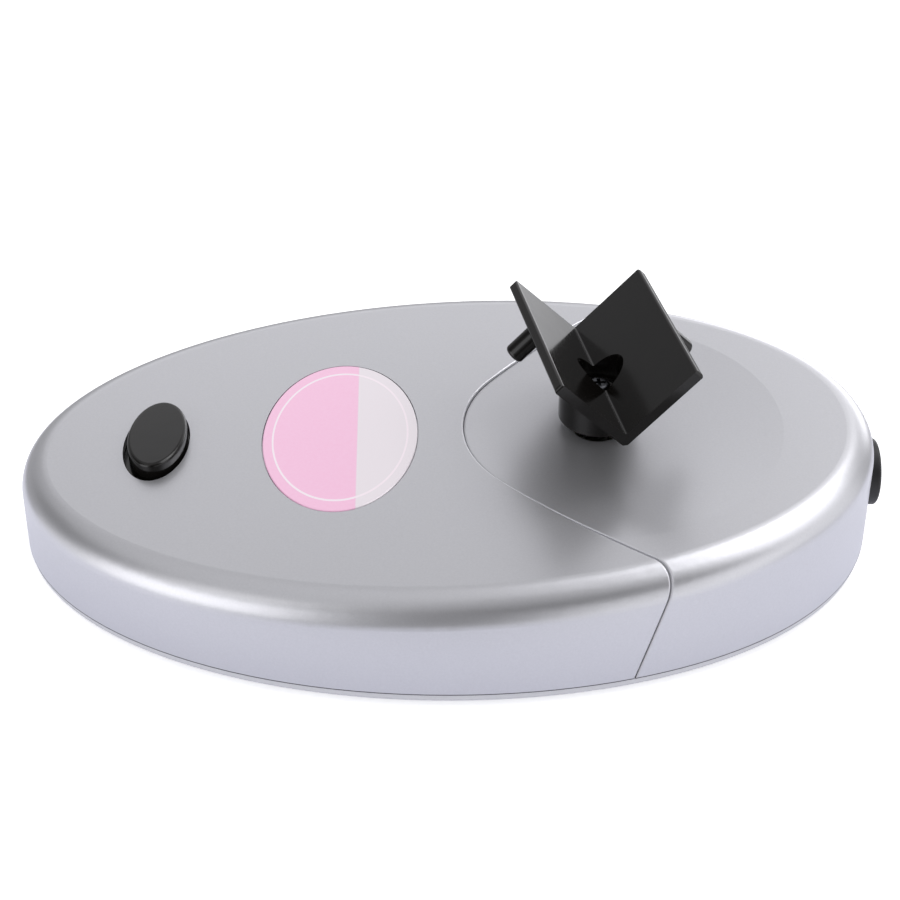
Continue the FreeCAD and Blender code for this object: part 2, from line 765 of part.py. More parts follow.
# ---------------------------------------------------------------- crank
def crank_spindle():
    flange_top = crank_flange_z + crank_flange_h
    collar_top = cradle_bearing_z()[0]
    neck_low = clip_z - clip_gap
    neck_high = clip_z + clip_thick + clip_gap
    shoulder_z = upper_bearing_z + bearing_h
    chamfer = spindle_end_chamfer
    low = revolve([(0, spindle_bottom_z), (spindle_r - chamfer, spindle_bottom_z),
                   (spindle_r, spindle_bottom_z + chamfer), (spindle_r, neck_low),
                   (clip_groove_r, neck_low), (clip_groove_r, neck_high), (spindle_r, neck_high),
                   (spindle_r, shoulder_z), (bearing_inner_out_r, shoulder_z),
                   (bearing_inner_out_r, crank_flange_z), (crank_flange_r, crank_flange_z),
                   (crank_flange_r, flange_top), (0, flange_top)], spindle_x)
    journal_top = pin_top_z() - pin_short
    pin_low = flange_top - pin_bite
    pin = revolve([(0, pin_low), (collar_r, pin_low), (collar_r, collar_top),
                   (spindle_r, collar_top), (spindle_r, journal_top), (0, journal_top)],
                  pin_x(), pin_y())
    spindle = join([low, pin])
    hole_low = pin_top_z() + washer_h - cradle_screw_length - screw_hole_gap
    spindle = spindle.cut(post(cradle_screw_r + screw_hole_gap, hole_low, journal_top + 1,
                               pin_x(), pin_y()))
    for x, y in pulley_screw_places():
        low_z = pulley_web_top() - pulley_screw_length - screw_hole_gap
        spindle = spindle.cut(post(pulley_screw_r + screw_hole_gap, low_z, flange_top + 1, x, y))
    return spindle


def spindle_clip():
    """C-shaped clip in the spindle's groove."""
    ring = tube(clip_r, clip_groove_r + clip_gap, clip_z, clip_z + clip_thick, spindle_x)
    return ring.cut(block(clip_r, clip_mouth / 2, clip_z - 1, clip_z + clip_thick + 1,
                          spindle_x + clip_r + clip_groove_r * 0.5))


def spindle_bearings(maker):
    return [maker(z, bearing_h, spindle_x, 0.0) for z in (lower_bearing_z, upper_bearing_z)]


def bearing_housing():
    top = upper_bearing_z + bearing_h
    seat_r = bearing_outer_r + bearing_fit
    low = floor_thick + housing_floor_gap
    flange_top = housing_flange_z + housing_flange_h
    body = revolve([(0, low), (housing_r, low), (housing_r, housing_flange_z),
                    (housing_flange_r, housing_flange_z), (housing_flange_r, flange_top),
                    (housing_r + housing_web, flange_top), (housing_r, flange_top + housing_web),
                    (housing_r, top), (0, top)], spindle_x)
    body = body.cut(post(housing_pocket_r, low - 1, top + 1, spindle_x))
    body = body.cut(post(seat_r, lower_bearing_z, lower_bearing_z + bearing_h, spindle_x))
    body = body.cut(post(seat_r, lower_bearing_z, top + 1, spindle_x))
    for x, y in housing_places():
        body = body.cut(post(small_screw_r + screw_hole_gap, 0, flange_top + 1, x, y))
    return body


def bearing_sleeve():
    """Tube that keeps the two outer rings apart."""
    return tube(bearing_outer_r, bearing_outer_in_r, lower_bearing_z + bearing_h, upper_bearing_z,
                spindle_x)


def housing_places():
    step = 2 * math.pi / housing_screw_count
    return [(spindle_x + housing_screw_circle * math.cos(step * i),
             housing_screw_circle * math.sin(step * i)) for i in range(housing_screw_count)]


def housing_screws():
    screw = cross_head_screw(small_screw_r, housing_screw_length, small_head_r, small_head_h)
    seat = housing_flange_z + housing_flange_h
    return [placed(screw, x, y, seat) for x, y in housing_places()]


def pulley_web_top():
    return crank_flange_z + crank_flange_h + pulley_web_h


def pulley_screw_places():
    step = 2 * math.pi / pulley_screw_count
    return [(spindle_x + pulley_screw_circle * math.cos(step * (i + 0.5)),
             pulley_screw_circle * math.sin(step * (i + 0.5))) for i in range(pulley_screw_count)]


def belt_z():
    return pulley_rim_z + pulley_rim_h / 2


def groove_tool(pitch_r, rim_r, x):
    """Ring that cuts a V groove round a pulley, clear of the belt."""
    slope = math.tan(math.radians(groove_half_angle))
    clear_r = belt_r + belt_gap
    # the V's sides are tangent to a circle about the belt, and its bottom is flat
    bottom_r = pitch_r - clear_r
    half_at_pitch = clear_r / math.cos(math.radians(groove_half_angle))
    half_bottom = half_at_pitch - clear_r * slope
    out_r = rim_r + 1.0
    half_out = half_at_pitch + (out_r - pitch_r) * slope
    z = belt_z()
    return revolve([(bottom_r, z - half_bottom), (out_r, z - half_out), (out_r, z + half_out),
                    (bottom_r, z + half_bottom)], x)


def driven_pulley():
    web_low = crank_flange_z + crank_flange_h
    rim_in = pulley_r - pulley_rim_thick
    rim_top = pulley_rim_z + pulley_rim_h
    web_hole_r = crank_throw + collar_r + web_hole_gap
    body = revolve([(web_hole_r, web_low), (rim_in, web_low), (rim_in, pulley_rim_z),
                    (pulley_r, pulley_rim_z), (pulley_r, rim_top), (rim_in, rim_top),
                    (rim_in, pulley_web_top()), (web_hole_r, pulley_web_top())], spindle_x)
    body = body.cut(groove_tool(belt_pitch_r, pulley_r, spindle_x))
    for x, y in pulley_screw_places():
        body = body.cut(post(pulley_screw_r + screw_hole_gap, web_low - 1, rim_top, x, y))
    return body


def pulley_screws():
    screw = cross_head_screw(pulley_screw_r, pulley_screw_length, pulley_screw_head_r,
                             pulley_screw_head_h)
    return [placed(screw, x, y, pulley_web_top()) for x, y in pulley_screw_places()]


def balance_weight():
    """Steel arc under the pulley's web, across the spindle from the cradle's pin."""
    high = crank_flange_z + crank_flange_h
    inner = crank_flange_r + weight_inner_gap
    outer = pulley_r - pulley_rim_thick - weight_outer_gap
    start = crank_turn + 180.0 - weight_span / 2
    big = Part.makeCylinder(outer, weight_h, V(0, 0, high - weight_h), UP, weight_span)
    small = Part.makeCylinder(inner, weight_h + 2, V(0, 0, high - weight_h - 1))
    weight = big.cut(small)
    weight.rotate(V(0, 0, 0), UP, start)
    weight.translate(V(spindle_x, 0, 0))
    return weight


# ---------------------------------------------------------------- cradle
def trough_peg(side):
    """Round peg, square to a plate's outer face, near its top edge. side is -1 or +1."""
    peg = Part.makeCylinder(peg_r, peg_length + plate_thick / 2,
                            V(plate_width - peg_below_edge, peg_offsets[side], -plate_thick / 2),
                            V(0, 0, -1))
    peg = peg.makeFillet(peg_edge_r, edges_at(peg, -plate_thick - peg_length))
    peg.rotate(V(0, 0, 0), V(0, 1, 0), -45)
    if side < 0:
        peg = peg.mirror(V(0, 0, 0), V(1, 0, 0))
    return peg


def v_profile_solid():
    """The V as one extruded profile with rounded edges and a narrow flat under its corner."""
    root = math.sqrt(0.5)
    tip = plate_width * root
    out = plate_thick * root
    flat = valley_flat / 2
    apex = -2 * out
    corners = [V(0, 0, 0), V(tip, 0, tip), V(tip + out, 0, tip - out), V(flat, 0, apex + flat),
               V(-flat, 0, apex + flat), V(-tip - out, 0, tip - out), V(-tip, 0, tip)]
    face = Part.Face(Part.makePolygon(corners + corners[:1]))
    face.translate(V(0, -plate_length / 2, 0))
    solid = face.extrude(V(0, plate_length, 0))
    rounded = []
    for edge in solid.Edges:
        mid = edge.CenterOfMass
        along = abs(edge.BoundBox.YLength - plate_length) < 1e-6
        outer_long = along and mid.z > tip - out - 1e-6
        end = not along and abs(mid.z - apex - flat) > 0.1
        top_end = end and mid.z > tip - out - 1e-6
        if outer_long or top_end:
            rounded.append(edge)
    solid = solid.makeFillet(plate_edge_r, rounded)
    valley = [e for e in solid.Edges if e.CenterOfMass.Length < 1e-6]
    return solid.makeFillet(valley_r, valley)


def cradle():
    trough = join([v_profile_solid(), trough_peg(-1), trough_peg(1)])
    trough.rotate(V(0, 0, 0), UP, cradle_turn)
    trough.translate(V(pin_x(), pin_y(), valley_z))
    column = post(column_r, column_bottom_z, valley_z + plate_width, pin_x(), pin_y())
    column = column.makeFillet(column_edge_r, edges_at(column, column_bottom_z))
    # the column stops at the plates' inner faces
    reach = 2 * column_r
    opening = Part.makePolygon([V(0, -reach, 0), V(reach, -reach, reach), V(-reach, -reach, reach),
                                V(0, -reach, 0)])
    above = Part.Face(opening).extrude(V(0, 2 * reach, 0))
    above = above.fuse(block(reach, reach, reach / 2, 3 * reach))
    above.translate(V(0, 0, -column_bite))
    above.rotate(V(0, 0, 0), UP, cradle_turn)
    above.translate(V(pin_x(), pin_y(), valley_z))
    shape = join([trough, column.cut(above)])
    lip_top = column_bottom_z + column_lip_h
    shape = shape.cut(post(column_lip_r, column_bottom_z - 1, lip_top + 1, pin_x(), pin_y()))
    seat = post(bearing_outer_r + bearing_fit, lip_top, valley_z + plate_width, pin_x(), pin_y())
    return shape.cut(seat)


def cradle_bearings(maker):
    return [maker(z, small_bearing_h, pin_x(), pin_y()) for z in cradle_bearing_z()]


def cradle_bearing_spacer():
    low = cradle_bearing_z()[0] + small_bearing_h
    inner = spindle_r + bearing_fit
    return tube(inner + spacer_wall, inner, low, low + spacer_h, pin_x(), pin_y())


def cradle_washer():
    low = pin_top_z()
    bore_r = cradle_screw_r + screw_hole_gap
    return tube(washer_r, bore_r, low, low + washer_h, pin_x(), pin_y())


def cradle_screw():
    screw = cross_head_screw(cradle_screw_r, cradle_screw_length, screw_head_r, screw_head_h)
    return placed(screw, pin_x(), pin_y(), pin_top_z() + washer_h)


# ---------------------------------------------------------------- motor
def motor_x():
    return spindle_x - motor_distance


def motor_can():
    inner_r = motor_r - motor_can_wall
    bore_r = motor_shaft_r + motor_shaft_gap
    top = motor_top_z
    boss_top = top + motor_boss_h
    ceiling = top - motor_can_wall
    can = revolve([(bore_r, ceiling), (inner_r, ceiling), (inner_r, motor_bottom_z),
                   (motor_r, motor_bottom_z), (motor_r, top - motor_edge), (motor_r - motor_edge, top),
                   (motor_boss_r, top), (motor_boss_r, boss_top), (bore_r, boss_top)], motor_x())
    for x, y in motor_face_places():
        low = ceiling - 1
        can = can.cut(post(pulley_screw_r + screw_hole_gap, low, top + 1, x, y))
    return can


def motor_end_cap():
    outer = motor_r - motor_can_wall - motor_cap_gap
    bore_r = motor_shaft_r + motor_shaft_gap
    low = motor_bottom_z + motor_cap_recess
    high = motor_bottom_z + motor_cap_h
    boss_top = high + motor_cap_boss_h
    cap = revolve([(bore_r, low), (outer, low), (outer, high), (motor_boss_r, high),
                   (motor_boss_r, boss_top), (bore_r, boss_top)], motor_x())
    for side in (-1, 1):
        slot = block(motor_terminal_half_w + motor_terminal_gap,
                     terminal_thick / 2 + motor_terminal_gap, low - 1, high + 1,
                     motor_x(), side * motor_pad_hole_r * terminal_ring_share)
        cap = cap.cut(slot)
    return cap


def motor_terminals():
    low = floor_thick + motor_terminal_lift
    blades = []
    for side in (-1, 1):
        blades.append(block(motor_terminal_half_w, terminal_thick / 2, low,
                            low + motor_terminal_length, motor_x(),
                            side * motor_pad_hole_r * terminal_ring_share))
    return blades


def magnet_inner_r():
    return motor_r - motor_can_wall - motor_cap_gap - motor_magnet_thick


def core_heights():
    return (motor_bottom_z + motor_cap_h + motor_core_end_gap,
            motor_top_z - motor_can_wall - motor_core_end_gap)


def motor_magnets():
    low, high = core_heights()
    outer = motor_r - motor_can_wall - motor_cap_gap
    magnets = []
    for middle in (0.0, 180.0):
        sector = Part.makeCylinder(outer, high - low, V(0, 0, low), UP, motor_magnet_span)
        sector = sector.cut(Part.makeCylinder(magnet_inner_r(), high - low + 2, V(0, 0, low - 1)))
        sector.rotate(V(0, 0, 0), UP, middle - motor_magnet_span / 2)
        sector.translate(V(motor_x(), 0, 0))
        magnets.append(sector)
    return magnets


def motor_armature():
    """Slotted core with its commutator."""
    low, high = core_heights()
    core_r = magnet_inner_r() - motor_air_gap
    core = post(core_r, low, high)
    for i in range(motor_slot_count):
        slot = block(motor_slot_depth, motor_slot_width / 2, low - 1, high + 1, core_r)
        slot.rotate(V(0, 0, 0), UP, 360.0 * i / motor_slot_count)
        core = core.cut(slot)
    commutator_low = motor_bottom_z + motor_cap_h + motor_commutator_gap
    core = join([core, post(motor_commutator_r, commutator_low, (low + high) / 2)])
    core = core.cut(post(motor_shaft_r + motor_shaft_fit, commutator_low - 1, high + 1))
    core.translate(V(motor_x(), 0, 0))
    return core


def motor_shaft():
    top = motor_pulley_z()[1]
    return post(motor_shaft_r, motor_bottom_z + motor_shaft_lift, top, motor_x())


def motor_pulley_z():
    return belt_z() - motor_pulley_h / 2, belt_z() + motor_pulley_h / 2


def motor_pulley():
    low, high = motor_pulley_z()
    rim_r = motor_pitch_r + motor_pulley_rim
    pulley = tube(rim_r, motor_shaft_r + motor_shaft_fit, low, high, motor_x())
    return pulley.cut(groove_tool(motor_pitch_r, rim_r, motor_x()))


def motor_face_places():
    return [(motor_x(), side * motor_face_screw_circle) for side in (-1, 1)]


def motor_face_screws():
    screw = cross_head_screw(pulley_screw_r, motor_face_screw_length, pulley_screw_head_r,
                             pulley_screw_head_h)
    seat = motor_top_z + bracket_thick
    return [placed(screw, x, y, seat) for x, y in motor_face_places()]


def motor_pad():
    """Rubber cup that the can's foot stands in."""
    outer = motor_r + motor_pad_side
    seat_r = motor_r + motor_pad_gap
    lip_top = motor_bottom_z + motor_pad_lip_h
    return revolve([(motor_pad_hole_r, floor_thick), (outer, floor_thick), (outer, lip_top),
                    (seat_r, lip_top), (seat_r, motor_bottom_z),
                    (motor_pad_hole_r, motor_bottom_z)], motor_x())


def bracket_places():
    return [(motor_x() + sx * bracket_screw_x, sy * bracket_screw_y)
            for sx in (-1, 1) for sy in (-1, 1)]


def bracket_screw_seat():
    return motor_top_z + bracket_thick + grommet_flange_h


def motor_bracket():
    low = motor_top_z
    high = low + bracket_thick
    plate = block(bracket_half_x, bracket_half_y, low, high, motor_x())
    upright = [e for e in plate.Edges if e.BoundBox.ZLength > bracket_thick / 2]
    plate = plate.makeFillet(bracket_corner_r, upright)
    plate = plate.cut(post(motor_boss_r + bracket_hole_gap, low - 1, high + 1, motor_x()))
    for x, y in bracket_places():
        plate = plate.cut(post(grommet_neck_r, low - 1, high + 1, x, y))
    for x, y in motor_face_places():
        plate = plate.cut(post(pulley_screw_r + screw_hole_gap, low - 1, high + 1, x, y))
    return plate


def motor_grommets():
    grommets = []
    low = motor_top_z - grommet_flange_h
    high = bracket_screw_seat()
    bore = screw_r + screw_hole_gap
    neck = grommet_neck_r - grommet_fit
    for x, y in bracket_places():
        grommets.append(revolve([(bore, low), (grommet_r, low), (grommet_r, motor_top_z),
                                 (neck, motor_top_z), (neck, motor_top_z + bracket_thick),
                                 (grommet_r, motor_top_z + bracket_thick), (grommet_r, high),
                                 (bore, high)], x, y))
    return grommets


def motor_bracket_screws():
    screw = cross_head_screw(screw_r, bracket_screw_length, screw_head_r, screw_head_h)
    return [placed(screw, x, y, bracket_screw_seat()) for x, y in bracket_places()]


def drive_belt():
    """Round belt in the two pulleys' grooves: two straight runs and two arcs."""
    far_x = motor_x()
    z = belt_z()
    lean = math.asin((belt_pitch_r - motor_pitch_r) / motor_distance)
    # the belt leaves each pulley square to its radius
    side = V(-math.sin(lean), math.cos(lean), 0)
    big = V(spindle_x, 0, z)
    small = V(far_x, 0, z)
    flip = V(side.x, -side.y, 0)
    big_top = big + side * belt_pitch_r
    big_low = big + flip * belt_pitch_r
    small_top = small + side * motor_pitch_r
    small_low = small + flip * motor_pitch_r
    path = Part.Wire([Part.makeLine(small_top, big_top),
                      Part.Arc(big_top, big + V(belt_pitch_r, 0, 0), big_low).toShape(),
                      Part.makeLine(big_low, small_low),
                      Part.Arc(small_low, small - V(motor_pitch_r, 0, 0), small_top).toShape()])
    section = Part.Circle(small_top, big_top - small_top, belt_r).toShape()
    return path.makePipeShell([Part.Wire(section)], True, True)


# ---------------------------------------------------------------- write the nodes
def bezel_reach():
    """How far the inlet's bezel stands beyond the outline's end."""
    return dc_jack_body().optimalBoundingBox(False, False).XMax - half_length


def write_node(name, shape, frame_shift):
    solids = shape if isinstance(shape, list) else [shape]
    moved = [placed(solid, frame_shift.x, frame_shift.y, frame_shift.z) for solid in solids]
    node = moved[0] if len(moved) == 1 else Part.makeCompound(moved)
    node.exportStep("parts/" + name + ".step")


def main():
    os.makedirs("parts", exist_ok=True)
    shell = cover_shell()
    nodes = {
        "front_cover": front_cover(shell),
        "rear_cover": rear_cover(shell),
        "base_plate": base_plate(),
        "case_screws": case_screws(),
        "rubber_feet": rubber_feet(),
        "label_badge": label_badge(),
        "power_button": power_button(),
        "switch_plunger": switch_plunger(),
        "switch_body": switch_body(),
        "switch_terminals": switch_terminals(),
        "dc_jack_body": dc_jack_body(),
        "dc_jack_pin": dc_jack_pin(),
        "dc_jack_nut": dc_jack_nut(),
        "dc_jack_terminals": dc_jack_terminals(),
        "crank_spindle": crank_spindle(),
        "spindle_clip": spindle_clip(),
        "spindle_bearing_inners": spindle_bearings(bearing_inner),
        "spindle_bearing_outers": spindle_bearings(bearing_outer),
        "bearing_sleeve": bearing_sleeve(),
        "bearing_housing": bearing_housing(),
        "housing_screws": housing_screws(),
        "driven_pulley": driven_pulley(),
        "pulley_screws": pulley_screws(),
        "balance_weight": balance_weight(),
        "cradle": cradle(),
        "cradle_bearing_inners": cradle_bearings(bearing_inner),
        "cradle_bearing_outers": cradle_bearings(bearing_outer),
        "cradle_bearing_spacer": cradle_bearing_spacer(),
        "cradle_washer": cradle_washer(),
        "cradle_screw": cradle_screw(),
        "motor_can": motor_can(),
        "motor_end_cap": motor_end_cap(),
        "motor_terminals": motor_terminals(),
        "motor_magnets": motor_magnets(),
        "motor_armature": motor_armature(),
        "motor_shaft": motor_shaft(),
        "motor_pulley": motor_pulley(),
        "motor_face_screws": motor_face_screws(),
        "motor_pad": motor_pad(),
        "motor_bracket": motor_bracket(),
        "motor_grommets": motor_grommets(),
        "motor_bracket_screws": motor_bracket_screws(),
        "drive_belt": drive_belt(),
    }
    frame_shift = V(-bezel_reach() / 2, 0, foot_proud)
    for name, shape in nodes.items():
        write_node(name, shape, frame_shift)


main()
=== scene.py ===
import json
import math

import bpy
from mathutils import Matrix, Vector


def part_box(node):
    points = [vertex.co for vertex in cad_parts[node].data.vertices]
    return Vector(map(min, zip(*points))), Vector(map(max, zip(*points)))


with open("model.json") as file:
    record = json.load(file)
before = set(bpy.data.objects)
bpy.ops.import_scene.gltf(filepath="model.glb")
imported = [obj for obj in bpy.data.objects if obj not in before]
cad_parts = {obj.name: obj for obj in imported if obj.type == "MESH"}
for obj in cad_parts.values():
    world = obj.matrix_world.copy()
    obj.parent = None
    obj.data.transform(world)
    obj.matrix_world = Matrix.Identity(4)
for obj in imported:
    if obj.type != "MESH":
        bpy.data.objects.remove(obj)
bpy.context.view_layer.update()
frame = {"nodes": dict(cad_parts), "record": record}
nodes = frame["nodes"]

MM = 0.001


# ------------------------------------------------------------------ small helpers
def linear(hex_colour):
    """sRGB hex to the linear colour that a shader socket takes."""
    channels = [int(hex_colour[i:i + 2], 16) / 255 for i in (1, 3, 5)]
    return [c / 12.92 if c <= 0.04045 else ((c + 0.055) / 1.055) ** 2.4
            for c in channels] + [1.0]


def add(tree, kind, sockets=(), **settings):
    """Adds a node with its settings. sockets maps an input's name or number to a value, or to
    another node's output, which is linked to it."""
    node = tree.nodes.new(kind)
    for name, value in settings.items():
        setattr(node, name, value)
    for key, value in dict(sockets).items():
        if isinstance(value, bpy.types.NodeSocket):
            tree.links.new(value, node.inputs[key])
        else:
            node.inputs[key].default_value = value
    return node


def new_finish(name):
    """An empty material with its shader and its Object coordinates."""
    finish = bpy.data.materials.new(name)
    finish.use_nodes = True
    tree = finish.node_tree
    tree.nodes.clear()
    shader = add(tree, "ShaderNodeBsdfPrincipled")
    add(tree, "ShaderNodeOutputMaterial", {"Surface": shader.outputs["BSDF"]})
    place = add(tree, "ShaderNodeTexCoord").outputs["Object"]
    return finish, tree, shader, place


# how deep a grain or a groove is drawn, as a share of its size
RELIEF_DEPTH = 0.2
# a wave's bands repeat about every 0.3 m at scale 1
WAVE_REPEAT = 0.3


def grained(name, dark, light, grain_mm, roughness, relief, metallic=0.0, ior=1.5):
    """A finish whose colour wanders a little between two tones, with the surface's grain drawn
    as relief. grain_mm is the size of one grain. Where the real grain is too fine to show, it is
    drawn as coarse as it needs to show."""
    finish, tree, shader, place = new_finish(name)
    grain = add(tree, "ShaderNodeTexNoise", {
        "Vector": place, "Scale": 1 / (grain_mm * MM), "Detail": 3.0}).outputs["Fac"]
    tone = add(tree, "ShaderNodeMix", {0: grain, 6: linear(dark), 7: linear(light)},
               data_type="RGBA")
    bump = add(tree, "ShaderNodeBump", {
        "Height": grain, "Strength": relief, "Distance": grain_mm * MM * RELIEF_DEPTH})
    tree.links.new(tone.outputs[2], shader.inputs["Base Color"])
    tree.links.new(bump.outputs["Normal"], shader.inputs["Normal"])
    shader.inputs["Roughness"].default_value = roughness
    shader.inputs["Metallic"].default_value = metallic
    if metallic < 1.0:
        shader.inputs["IOR"].default_value = ior
    return finish, tree, shader, place


def turned(name, dark, light, roughness, groove_mm=0.12):
    """Turned metal: fine level rings about the work's own axis. The real tool marks are too fine
    to show, so they are drawn groove_mm apart."""
    finish, tree, shader, place = new_finish(name)
    rings = add(tree, "ShaderNodeTexWave", {
        "Vector": place, "Scale": WAVE_REPEAT / (groove_mm * MM), "Distortion": 0.6,
        "Detail": 1.0}, bands_direction="Z").outputs["Fac"]
    tone = add(tree, "ShaderNodeMix", {0: rings, 6: linear(dark), 7: linear(light)},
               data_type="RGBA")
    bump = add(tree, "ShaderNodeBump", {
        "Height": rings, "Strength": 0.04, "Distance": groove_mm * MM * RELIEF_DEPTH})
    tree.links.new(tone.outputs[2], shader.inputs["Base Color"])
    tree.links.new(bump.outputs["Normal"], shader.inputs["Normal"])
    shader.inputs["Roughness"].default_value = roughness
    shader.inputs["Metallic"].default_value = 1.0
    return finish


# ------------------------------------------------------------------ the covers' lacquer
SPINDLE_X = 35.748 * MM

# the seam between the two covers leans down the wall and stops beyond the spindle
SEAM_TOP_Z = 29.3 * MM
SEAM_LEAN = 0.32
SEAM_END_X = SPINDLE_X + 13 * MM
NO_LEFT_END = -1
# where each arc begins across the width, where it ends at the left, its centre, and its radius
SEAM_ARCS = [
    (0, NO_LEFT_END, (SPINDLE_X, 0, 0), 32.8 * MM),
    (21.083 * MM, NO_LEFT_END, (SPINDLE_X + 153.36 * MM, -128.69 * MM, 0), 233 * MM),
    (52.39 * MM, SPINDLE_X - 1.45 * MM, (SPINDLE_X - 1.45 * MM, 62.49 * MM, 0), 13 * MM),
]
# how far from the seam its dull edges are whole, and how far they reach
EDGE_WHOLE, EDGE_REACH = 0.32 * MM, 0.52 * MM

# the covers' rim over the base plate, darkened as painted shade for the shadow in the parting:
# where it is dark, and from where it is silver
PARTING_Z = 3.9 * MM
RIM_DARK_Z, RIM_SILVER_Z = PARTING_Z + 0.22 * MM, PARTING_Z + 0.3 * MM

LACQUER_ROUGHNESS, EDGE_ROUGHNESS = 0.34, 0.75
LACQUER_METALLIC, EDGE_METALLIC = 0.80, 0.4
# the paler colour painted on the seam's edges, a painted lightening against the gap's shade
SEAM_PAINTED_LIGHT = "#C6C6CB"
# the colour of the painted shade on the rim over the base plate
RIM_PAINTED_SHADE = "#4A4A50"


def seam_edges(tree, place):
    """1 on the seam between the two covers, falling to 0 beside it. Seen from above the seam is
    three arcs on each side of the long axis, and lower down it lies further to the left."""
    parts = add(tree, "ShaderNodeSeparateXYZ", {0: place})
    below_top = add(tree, "ShaderNodeMath", {0: SEAM_TOP_Z, 1: parts.outputs["Z"]},
                    operation="SUBTRACT")
    x = add(tree, "ShaderNodeMath", {
        0: below_top.outputs[0], 1: SEAM_LEAN, 2: parts.outputs["X"]},
        operation="MULTIPLY_ADD").outputs[0]
    y = add(tree, "ShaderNodeMath", {0: parts.outputs["Y"]}, operation="ABSOLUTE").outputs[0]
    away = None
    for begin, left_end, centre, radius in SEAM_ARCS:
        kept_x = add(tree, "ShaderNodeMath", {0: x, 1: left_end}, operation="MAXIMUM")
        plan = add(tree, "ShaderNodeCombineXYZ", {0: kept_x.outputs[0], 1: y})
        reach = add(tree, "ShaderNodeVectorMath", {0: plan.outputs[0], 1: centre},
                    operation="DISTANCE")
        beyond = add(tree, "ShaderNodeMath", {0: reach.outputs["Value"], 1: radius},
                     operation="SUBTRACT")
        off_arc = add(tree, "ShaderNodeMath", {0: beyond.outputs[0]},
                      operation="ABSOLUTE").outputs[0]
        if away is None:
            away = off_arc
        else:
            here = add(tree, "ShaderNodeMath", {0: y, 1: begin}, operation="GREATER_THAN")
            away = add(tree, "ShaderNodeMix", {
                0: here.outputs[0], 2: away, 3: off_arc}).outputs[0]
    near = add(tree, "ShaderNodeMapRange", {0: away, 1: EDGE_WHOLE, 2: EDGE_REACH, 3: 1.0, 4: 0.0})
    ahead = add(tree, "ShaderNodeMath", {0: x, 1: SEAM_END_X}, operation="LESS_THAN")
    return add(tree, "ShaderNodeMath", {0: near.outputs[0], 1: ahead.outputs[0]},
               operation="MULTIPLY").outputs[0]


def silver_lacquer():
    """Silver lacquer on moulded ABS: aluminium flakes under a thin clear coat, satin."""
    finish, tree, shader, place = grained(
        "silver_lacquer_on_abs", "#C8C8CC", "#D2D2D6", 0.5, LACQUER_ROUGHNESS, relief=0.02,
        metallic=LACQUER_METALLIC)
    shader.inputs["Coat Weight"].default_value = 0.25
    shader.inputs["Coat Roughness"].default_value = 0.22
    # the covers' two edges along the seam are made dull and painted paler, a painted lightening
    # that offsets the shade in the gap between them
    edge = seam_edges(tree, place)
    gloss = add(tree, "ShaderNodeMapRange", {0: edge, 3: LACQUER_ROUGHNESS, 4: EDGE_ROUGHNESS})
    metal = add(tree, "ShaderNodeMapRange", {0: edge, 3: LACQUER_METALLIC, 4: EDGE_METALLIC})
    silver = shader.inputs["Base Color"].links[0].from_socket
    colour = add(tree, "ShaderNodeMix", {0: edge, 6: silver, 7: linear(SEAM_PAINTED_LIGHT)},
                 data_type="RGBA")
    # the rim over the base plate is painted dark, a painted shade for the shadow in the parting
    # line
    z = add(tree, "ShaderNodeSeparateXYZ", {0: place}).outputs["Z"]
    out_of_rim_shade = add(tree, "ShaderNodeMapRange", {0: z, 1: RIM_DARK_Z, 2: RIM_SILVER_Z}).outputs[0]
    rim_shaded = add(tree, "ShaderNodeMix", {
        0: out_of_rim_shade, 6: linear(RIM_PAINTED_SHADE), 7: colour.outputs[2]}, data_type="RGBA")
    flaked = add(tree, "ShaderNodeMath", {0: metal.outputs[0], 1: out_of_rim_shade}, operation="MULTIPLY")
    tree.links.new(rim_shaded.outputs[2], shader.inputs["Base Color"])
    tree.links.new(gloss.outputs[0], shader.inputs["Roughness"])
    tree.links.new(flaked.outputs[0], shader.inputs["Metallic"])
    return finish


# ------------------------------------------------------------------ the badge's print
PINK_LOW, PINK_HIGH = "#FCC4E3", "#FECDE9"
PALE = "#F0E8EE"
# where the two fields meet, from the badge's middle, and how far they run into each other
FIELDS_MEET = 4.2 * MM
FIELDS_BLEED = 0.15 * MM
RING = "#FDF0F8"
# the ring's radius and half its width, as shares of the badge's half sizes
RING_SHARE, RING_HALF_WIDTH = 0.87, 0.012
PAPER_TOOTH = 0.8 * MM


